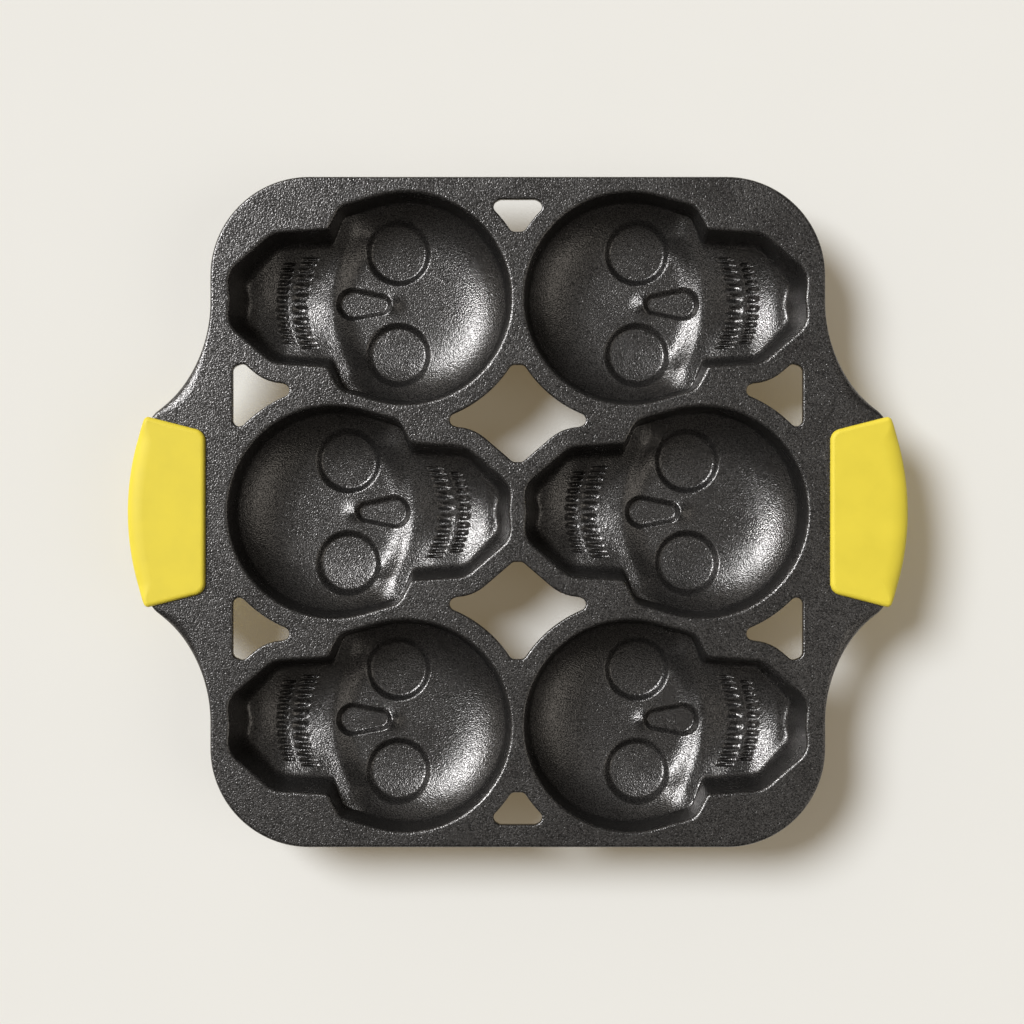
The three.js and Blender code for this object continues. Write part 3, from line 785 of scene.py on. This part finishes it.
def is_carved(skull, point, margin):
    """Whether a point of the cavity is near the edge of an eye or of the nose, or near the teeth."""
    u, v = point.x, point.y
    eye = eye_reach(skull, u, v)
    nose = nose_reach(skull, u, v)
    by_eye = skull.eye_floor_radius - margin < eye < skull.eye_top_radius + margin
    by_nose = -skull.nose_draft - margin < nose < margin
    straightened = u + v ** 2 / (2 * skull.row_radius)
    first = skull.upper_row - skull.upper_half - margin
    last = skull.lower_row + skull.lower_half + margin
    row_half = skull.upper_width * UPPER_FADE * (1 - math.exp(-skull.teeth / UPPER_FADE))
    by_teeth = first < straightened < last and abs(v) < row_half
    return by_eye or by_nose or by_teeth


def is_by_foot(skull, point):
    """Whether a point of the cup's outside is near the edge of a foot."""
    reach = eye_reach(skull, point.x, point.y) - skull.foot_flange
    margin = skull.carving_margin
    return skull.eye_floor_radius - margin < reach < skull.eye_top_radius + margin


def bowl(mesh, skull, edges, rings):
    """Extrudes a rim in rings to the skull's middle line.

    Each vertex keeps how far in from the rim it is, and the shape of the wall below its point of the rim.
    """
    layers = mesh.verts.layers.float
    jaw = skull_corners(skull)[2]
    for vert in {vert for edge in edges for vert in edge.verts}:
        width, vert[layers["fillet"]] = wall_shape(skull, vert.co)
        middle = Vector((min(max(vert.co.x, 0), jaw.x), 0))
        vert[layers["wall"]] = width / (vert.co.xy - middle).length
    reached = 0
    for ring in range(1, rings + 1):
        verts, edges = extruded(mesh, edges)
        share = (ring / rings) ** RING_POWER
        for vert in verts:
            middle = Vector((min(max(vert.co.x, 0), jaw.x), 0, vert.co.z))
            vert.co = middle.lerp(vert.co, (1 - share) / (1 - reached))
            vert[layers["inset"]] = share
        reached = share
    bmesh.ops.remove_doubles(mesh, verts=mesh.verts, dist=WELD)


def refined(mesh, near):
    """Splits the faces that are near something into four."""
    edges = {edge for face in mesh.faces if near(face.calc_center_median()) for edge in face.edges}
    bmesh.ops.subdivide_edges(mesh, edges=list(edges), cuts=1, use_grid_fill=True)


def pressed(mesh, top, depth_at):
    """Lowers every vertex inside a rim to the depth that a function gives there.

    The function takes the place, how far in it is, and the share of the depth that the wall has reached.
    """
    inset, wall, fillet = [mesh.verts.layers.float[name] for name in ("inset", "wall", "fillet")]
    for vert in mesh.verts:
        if vert[inset] > 0:
            reached = 1 - max(1 - vert[inset] / vert[wall], 0) ** vert[fillet]
            vert.co.z = top - depth_at(vert.co.x, vert.co.y, vert[inset], reached)


def cavity_shell(pan):
    """The inside of a cup, from the flat flange level with the deck to the carved floor."""
    skull, top = pan.skull, pan.deck.pan_height
    mesh = new_bmesh()
    flange = draw_loop(mesh, skull_outline(skull), skull.rim_round + skull.rim_flange, top)
    over_rim = [(skull.rim_flange, 0)] + quarter_round(skull.rim_round, skull.rim_round)
    edge = sweep(mesh, flange, inward(over_rim))
    bowl(mesh, skull, edge, INNER_RINGS)
    for margin in (skull.carving_margin, skull.carving_margin / 2, 0):
        refined(mesh, lambda point: is_carved(skull, point, margin))
    pressed(mesh, top, lambda *place: cavity_depth(skull, *place))
    return mesh


def outer_shell(pan):
    """The outside of a cup, from its fillet under the deck to its two feet."""
    skull, deck = pan.skull, pan.deck
    mesh = new_bmesh()
    outline = skull_outline(skull, skull.cup_wall)
    fillet = draw_loop(mesh, outline, skull.cup_wall + skull.cup_fillet, deck.pan_height - deck.thickness)
    edge = sweep(mesh, fillet, inward(quarter_round(skull.cup_fillet, skull.cup_fillet)))
    bowl(mesh, skull, edge, OUTER_RINGS)
    refined(mesh, lambda point: is_by_foot(skull, point))
    pressed(mesh, deck.pan_height, lambda *place: cup_depth(pan, *place))
    return mesh


def open_edges(mesh):
    """The edges with one face."""
    return [edge for edge in mesh.edges if edge.is_boundary]


def skull_cup(pan):
    """A closed cup: its inside and its outside, joined by a wall hidden in the deck."""
    mesh = cavity_shell(pan)
    sweep(mesh, open_edges(mesh), [(0, -pan.deck.thickness)])
    outside = mesh_data("cup_outside", outer_shell(pan))
    mesh.from_mesh(outside)
    bpy.data.meshes.remove(outside)
    return capped(mesh, open_edges(mesh))


# Deck and grips

def placed(stations, place):
    """The stations of an outline moved and turned to a place."""
    turn = place.to_3x3()
    return [((place @ point.to_3d()).xy, (turn @ outward.to_3d()).xy) for point, outward in stations]


def flare_softness(pan):
    """How soft the casting's edge is at a point: wholly so along the flares between body and grips."""
    deck = pan.deck
    half_width = layout(pan)[0]
    soft, hard = half_width + deck.flare_soft, half_width + deck.flare_hard
    return lambda point: smoothstep(abs(point.x), half_width, soft) - smoothstep(abs(point.x), soft, hard)


def casting_deck(pan):
    """The closed deck: rounded edges, windows, and a hole for each cup."""
    deck, skull = pan.deck, pan.skull
    lip = deck.edge_lip
    mesh = new_bmesh()
    seam = deck.under_round + lip
    low = deck.pan_height - deck.thickness
    side = draw_loop(mesh, casting_outline(pan), 0, low + seam, flare_softness(pan))
    plain = edge_moves(deck.thickness - seam, deck.edge_round, deck.edge_round, lip)
    soft = edge_moves(deck.thickness - seam, deck.flare_round, deck.flare_drop, lip)
    top = sweep(mesh, side, plain, soft)
    bottom = sweep(mesh, side, downward(edge_moves(seam, deck.under_round, deck.under_round, lip)))
    edge = deck.window_edge_round
    window_edge = inward(edge_moves(deck.thickness / 2, edge, edge, lip))
    for outline in window_outlines(pan):
        window = draw_loop(mesh, outline, 0, low + deck.thickness / 2)
        top += sweep(mesh, window, window_edge)
        bottom += sweep(mesh, window, downward(window_edge))
    rim = skull_outline(skull)
    for place in layout(pan)[2].values():
        hole = draw_loop(mesh, placed(rim, place), skull.rim_round + skull.rim_flange, deck.pan_height)
        top += hole
        bottom += sweep(mesh, hole, [(0, -deck.thickness)])
    return capped(mesh, top, bottom)


def grip_outline(pan):
    """The right grip's outline: straight along its mouth, slanted at its ends and bowed with the handle."""
    deck, grip = pan.deck, pan.grip
    half_width = layout(pan)[0]
    bow_radius = bow(deck)
    outer = bow_radius + grip.clearance + grip.wall
    centre = Vector((half_width + deck.handle_reach - bow_radius, 0))
    turn = math.asin(grip.half_length / outer)
    trimmed = turn - 2 * grip.end_round / outer
    mouth = half_width + grip.mouth_gap
    corners = [
        Vector((mouth, 0)),
        Vector((mouth, grip.mouth_half)),
        centre + unit(turn) * outer,
        centre + unit(trimmed) * outer,
    ]
    half = rounded_runs(corners, [grip.mouth_round, grip.end_round], grip.spacing)
    half += arc(centre, outer, trimmed, 0, grip.spacing)
    return closed(half, (1, -1))


def bow_softness(pan):
    """How soft a grip's edge is at a point: wholly so along the middle of its bowed side."""
    grip = pan.grip
    half_width = layout(pan)[0]
    start, end = half_width + pan.deck.handle_reach / 2, half_width + pan.deck.handle_shoulder
    whole = grip.half_length - grip.bow_ends
    plain = grip.half_length - grip.end_round
    return lambda point: smoothstep(point.x, start, end) * (1 - smoothstep(abs(point.y), whole, plain))


def pouch(pan, low, high):
    """The right grip before its pocket is cut: a closed plate with rounded edges."""
    grip, lip = pan.grip, pan.deck.edge_lip
    rise = (high - low) / 2
    mesh = new_bmesh()
    side = draw_loop(mesh, grip_outline(pan), 0, low + rise, bow_softness(pan))
    plain = edge_moves(rise, grip.edge_round, grip.edge_round, lip)
    soft = edge_moves(rise, grip.bow_round, grip.bow_drop, lip)
    top = sweep(mesh, side, plain, soft)
    bottom = sweep(mesh, side, downward(plain), downward(soft))
    return capped(mesh, top, bottom)


def block(stations, outset, low, high):
    """A closed block with sharp edges."""
    mesh = new_bmesh()
    top = draw_loop(mesh, stations, outset, high)
    bottom = sweep(mesh, top, [(0, low - high)])
    return capped(mesh, top, bottom)


def carved_out(mesh, cutter):
    """What is left of one bmesh where another is taken away."""
    body = linked("body", mesh_data("body", mesh))
    tool = linked("cutter", mesh_data("cutter", cutter))
    cut = body.modifiers.new("pocket", "BOOLEAN")
    cut.operation = "DIFFERENCE"
    cut.solver = "EXACT"
    cut.object = tool
    result = bmesh.new()
    result.from_object(body, bpy.context.evaluated_depsgraph_get())
    for part in (body, tool):
        data = part.data
        bpy.data.objects.remove(part)
        bpy.data.meshes.remove(data)
    return result


def silicone_grip(pan):
    """The right grip: a pouch whose pocket is the handle's own shape with a clearance all round."""
    deck, grip = pan.deck, pan.grip
    low = deck.pan_height - deck.thickness - grip.clearance
    high = deck.pan_height + grip.clearance
    pocket = block(casting_outline(pan), grip.clearance, low, high)
    return carved_out(pouch(pan, low - grip.wall, high + grip.wall), pocket)


# Studio

TABLE_HALF = 2.0  # half width, in metres
CAMERA_PLACE = (-0.0029, 0, 1.1)
VIEW_WIDTH = 0.512  # of the picture at the deck, in metres
SENSOR_WIDTH = 36  # of the camera, in millimetres
WALL_COLOUR = (1.0, 0.95, 0.88, 1)
BRIGHT_WALL = (-0.84, 0.55, 0)  # direction of the brightest wall
WALL_LIGHT = {"From Min": 0.3, "From Max": 0.95, "To Min": 0.08, "To Max": 0.6}  # strength towards it

# Name, colour, strength, spread in degrees, and where each lamp shines from
LAMPS = (
    ("soft_box", (0.96, 1.0, 1.06), 3.25, 26, (-0.7, 0.46, 1)),
    ("fill_card", (1.0, 0.97, 0.92), 0.32, 40, (1.05, -0.28, 1)),
    ("ceiling", (1.0, 0.98, 0.95), 0.09, 60, (0, 0, 1)),
)


def table_top(pan):
    """A square table under the pan."""
    mesh = bmesh.new()
    bmesh.ops.create_grid(mesh, x_segments=1, y_segments=1, size=TABLE_HALF)
    data = mesh_data("table", mesh)
    data.materials.append(painted_table(pan))
    return linked("table", data)


def hang_lamps():
    """Adds the lamps, each turned to the pan."""
    for name, tint, strength, spread, place in LAMPS:
        light = bpy.data.lights.new(name, "SUN")
        light.color = tint
        light.energy = strength
        light.angle = math.radians(spread)
        lamp = linked(name, light)
        lamp.location = place
        lamp.rotation_euler = (-lamp.location).to_track_quat("-Z", "Y").to_euler()


def studio_walls(pan):
    """A world that lights the pan as dim walls with a bright side, and is a pale backdrop to the camera."""
    world = bpy.data.worlds.new("studio")
    world.use_nodes = True
    tree = world.node_tree
    way = add_node(tree, "TexCoord", "Generated")
    toward = add_node(tree, "VectorMath", "Value", {0: way, 1: BRIGHT_WALL}, operation="DOT_PRODUCT")
    lit = {"Value": toward, **WALL_LIGHT}
    strength = add_node(tree, "MapRange", "Result", lit, interpolation_type="SMOOTHSTEP")
    walls = tree.nodes["Background"]
    set_inputs(tree, walls, {"Color": WALL_COLOUR, "Strength": strength})
    backdrop = add_node(tree, "Background", "Background", {"Color": (*pan.finish.floor, 1)})
    seen = add_node(tree, "LightPath", "Is Camera Ray")
    shown = add_node(tree, "MixShader", "Shader", {0: seen, 1: walls.outputs["Background"], 2: backdrop})
    set_inputs(tree, tree.nodes["World Output"], {"Surface": shown})
    return world


def overhead_camera(pan):
    """A camera that looks straight down, with the picture's width set at the deck."""
    lens = bpy.data.cameras.new("overhead")
    camera = linked("overhead", lens)
    camera.location = CAMERA_PLACE
    lens.sensor_width = SENSOR_WIDTH
    lens.lens = SENSOR_WIDTH * (camera.location.z - pan.deck.pan_height) / VIEW_WIDTH
    return camera


# Operators

class SKULLPAN_OT_casting_deck(bpy.types.Operator):
    """Model the casting's flat deck with its windows and handles"""

    bl_idname = "skull_pan.casting_deck"
    bl_label = "Casting Deck"

    def execute(self, context):
        pan = context.scene.skull_pan
        iron = seasoned_cast_iron(pan)
        finish_piece(casting_deck(pan), "casting_deck", iron, "pan", ["pan_casting"])
        return {"FINISHED"}


class SKULLPAN_OT_skull_cups(bpy.types.Operator):
    """Model the casting's six skull cups"""

    bl_idname = "skull_pan.skull_cups"
    bl_label = "Skull Cups"

    def execute(self, context):
        pan = context.scene.skull_pan
        iron = bpy.data.materials["seasoned_cast_iron"]
        cup = skull_cup(pan)
        for name, place in layout(pan)[2].items():
            copy = cup.copy()
            bmesh.ops.transform(copy, matrix=place, verts=copy.verts)
            finish_piece(copy, f"skull_cup_{name}", iron, "pan", ["pan_casting"])
        cup.free()
        return {"FINISHED"}


class SKULLPAN_OT_silicone_grips(bpy.types.Operator):
    """Model the two grips that slip over the handles"""

    bl_idname = "skull_pan.silicone_grips"
    bl_label = "Silicone Grips"

    def execute(self, context):
        pan = context.scene.skull_pan
        silicone = moulded_silicone(pan)
        grip = silicone_grip(pan)
        for name, turn in (("grip_right", 0), ("grip_left", math.pi)):
            copy = grip.copy()
            bmesh.ops.rotate(copy, matrix=Matrix.Rotation(turn, 3, "Z"), verts=copy.verts)
            finish_piece(copy, f"silicone_{name}", silicone, name, [name])
        grip.free()
        return {"FINISHED"}


class SKULLPAN_OT_studio(bpy.types.Operator):
    """Set the pan on a table under a soft box, with the camera overhead"""

    bl_idname = "skull_pan.studio"
    bl_label = "Studio"

    def execute(self, context):
        scene = context.scene
        pan = scene.skull_pan
        table = table_top(pan)
        hang_lamps()
        scene.world = studio_walls(pan)
        scene.camera = overhead_camera(pan)
        scene.view_settings.view_transform = "Standard"
        return {"FINISHED"}


class SKULLPAN_PT_panel(bpy.types.Panel):
    """Sizes and steps of the skull cake pan"""

    bl_idname = "SKULLPAN_PT_panel"
    bl_label = "Skull Cake Pan"
    bl_space_type = "VIEW_3D"
    bl_region_type = "UI"
    bl_category = "Skull Pan"

    def draw(self, context):
        column = self.layout.column()
        for step in STEPS:
            column.operator(step.bl_idname)
        pan = context.scene.skull_pan
        for group in (pan.deck, pan.skull, pan.grip, pan.finish):
            for name in group.bl_rna.properties.keys():
                if name not in ("rna_type", "name"):
                    column.prop(group, name)


STEPS = (SKULLPAN_OT_casting_deck, SKULLPAN_OT_skull_cups, SKULLPAN_OT_silicone_grips, SKULLPAN_OT_studio)
CLASSES = (DeckSizes, SkullSizes, GripSizes, Finishes, SkullPan, *STEPS, SKULLPAN_PT_panel)


def register():
    """Adds the classes and the scene's settings."""
    for cls in CLASSES:
        bpy.utils.register_class(cls)
    bpy.types.Scene.skull_pan = PointerProperty(type=SkullPan)


def unregister():
    """Takes them away again."""
    del bpy.types.Scene.skull_pan
    for cls in reversed(CLASSES):
        bpy.utils.unregister_class(cls)


def main():
    """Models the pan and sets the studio."""
    register()
    bpy.ops.skull_pan.casting_deck()
    bpy.ops.skull_pan.skull_cups()
    bpy.ops.skull_pan.silicone_grips()
    bpy.ops.skull_pan.studio()


if __name__ == "__main__":
    main()
